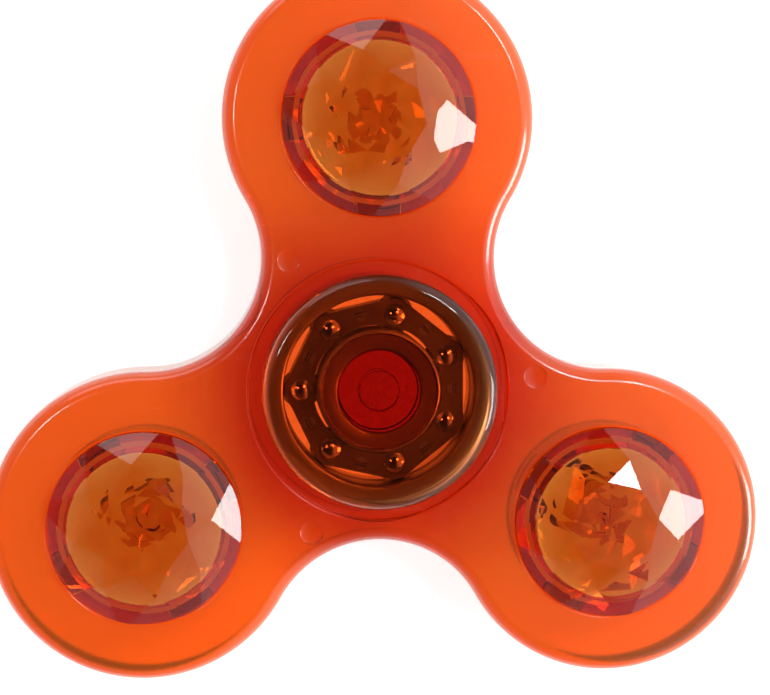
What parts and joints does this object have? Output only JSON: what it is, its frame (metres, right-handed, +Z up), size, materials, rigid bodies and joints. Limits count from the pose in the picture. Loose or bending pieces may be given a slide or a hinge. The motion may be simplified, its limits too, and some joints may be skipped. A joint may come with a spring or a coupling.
{
  "type": "fidget spinner",
  "caption": "Three-lobed translucent fidget spinner that turns on a ball bearing between two finger caps, with a faceted see-through gem in each lobe.",
  "frame": {"origin": "centre of the bottom cap's resting face, on the spin axis", "axes": "+Z up along the spin axis, +Y from the axis to the first lobe, +X across the other two lobes"},
  "size_m": [0.076, 0.0698, 0.0138],
  "materials": {
    "amber_plastic": "polished, tinted and see-through",
    "deep_amber_plastic": "polished, tinted and see-through",
    "smoky_amber_plastic": "polished, lightly smoked and see-through",
    "ring_steel": "ground steel",
    "cage_steel": "pressed steel",
    "ball_steel": "polished steel"
  },
  "bodies": {
    "hub": {"cap_bottom": "deep_amber_plastic", "cap_top": "deep_amber_plastic", "inner_ring": "ring_steel"},
    "spinner": {"body": "amber_plastic", "gem_1": "smoky_amber_plastic", "gem_2": "smoky_amber_plastic", "gem_3": "smoky_amber_plastic", "back_cover_1": "smoky_amber_plastic", "back_cover_2": "smoky_amber_plastic", "back_cover_3": "smoky_amber_plastic", "outer_ring": "ring_steel"},
    "cage": {"cage_upper": "cage_steel", "cage_lower": "cage_steel", "cage_rivets": "cage_steel"},
    "ball_1_body": {"ball_1": "ball_steel"},
    "ball_2_body": {"ball_2": "ball_steel"},
    "ball_3_body": {"ball_3": "ball_steel"},
    "ball_4_body": {"ball_4": "ball_steel"},
    "ball_5_body": {"ball_5": "ball_steel"},
    "ball_6_body": {"ball_6": "ball_steel"},
    "ball_7_body": {"ball_7": "ball_steel"}
  },
  "joints": [
    {"name": "spin", "type": "hinge", "parent": "hub", "child": "spinner", "pos_m": [0, 0, 0.0069], "axis": [0, 0, 1], "continuous": true},
    {"name": "cage_orbit", "type": "hinge", "parent": "hub", "child": "cage", "pos_m": [0, 0, 0.0069], "axis": [0, 0, 1], "continuous": true},
    {"name": "ball_1_roll", "type": "hinge", "parent": "cage", "child": "ball_1_body", "pos_m": [-0.0075, 0, 0.0069], "axis": [0, 0, 1], "continuous": true},
    {"name": "ball_2_roll", "type": "hinge", "parent": "cage", "child": "ball_2_body", "pos_m": [-0.00468, -0.00586, 0.0069], "axis": [0, 0, 1], "continuous": true},
    {"name": "ball_3_roll", "type": "hinge", "parent": "cage", "child": "ball_3_body", "pos_m": [0.00167, -0.00731, 0.0069], "axis": [0, 0, 1], "continuous": true},
    {"name": "ball_4_roll", "type": "hinge", "parent": "cage", "child": "ball_4_body", "pos_m": [0.00676, -0.00325, 0.0069], "axis": [0, 0, 1], "continuous": true},
    {"name": "ball_5_roll", "type": "hinge", "parent": "cage", "child": "ball_5_body", "pos_m": [0.00676, 0.00325, 0.0069], "axis": [0, 0, 1], "continuous": true},
    {"name": "ball_6_roll", "type": "hinge", "parent": "cage", "child": "ball_6_body", "pos_m": [0.00167, 0.00731, 0.0069], "axis": [0, 0, 1], "continuous": true},
    {"name": "ball_7_roll", "type": "hinge", "parent": "cage", "child": "ball_7_body", "pos_m": [-0.00468, 0.00586, 0.0069], "axis": [0, 0, 1], "continuous": true}
  ],
  "couplings": [
    {"joint": "cage_orbit", "follows": "spin", "ratio": 0.6323},
    {"joint": "ball_1_roll", "follows": "spin", "ratio": 1.7573},
    {"joint": "ball_2_roll", "follows": "spin", "ratio": 1.7573},
    {"joint": "ball_3_roll", "follows": "spin", "ratio": 1.7573},
    {"joint": "ball_4_roll", "follows": "spin", "ratio": 1.7573},
    {"joint": "ball_5_roll", "follows": "spin", "ratio": 1.7573},
    {"joint": "ball_6_roll", "follows": "spin", "ratio": 1.7573},
    {"joint": "ball_7_roll", "follows": "spin", "ratio": 1.7573}
  ]
}
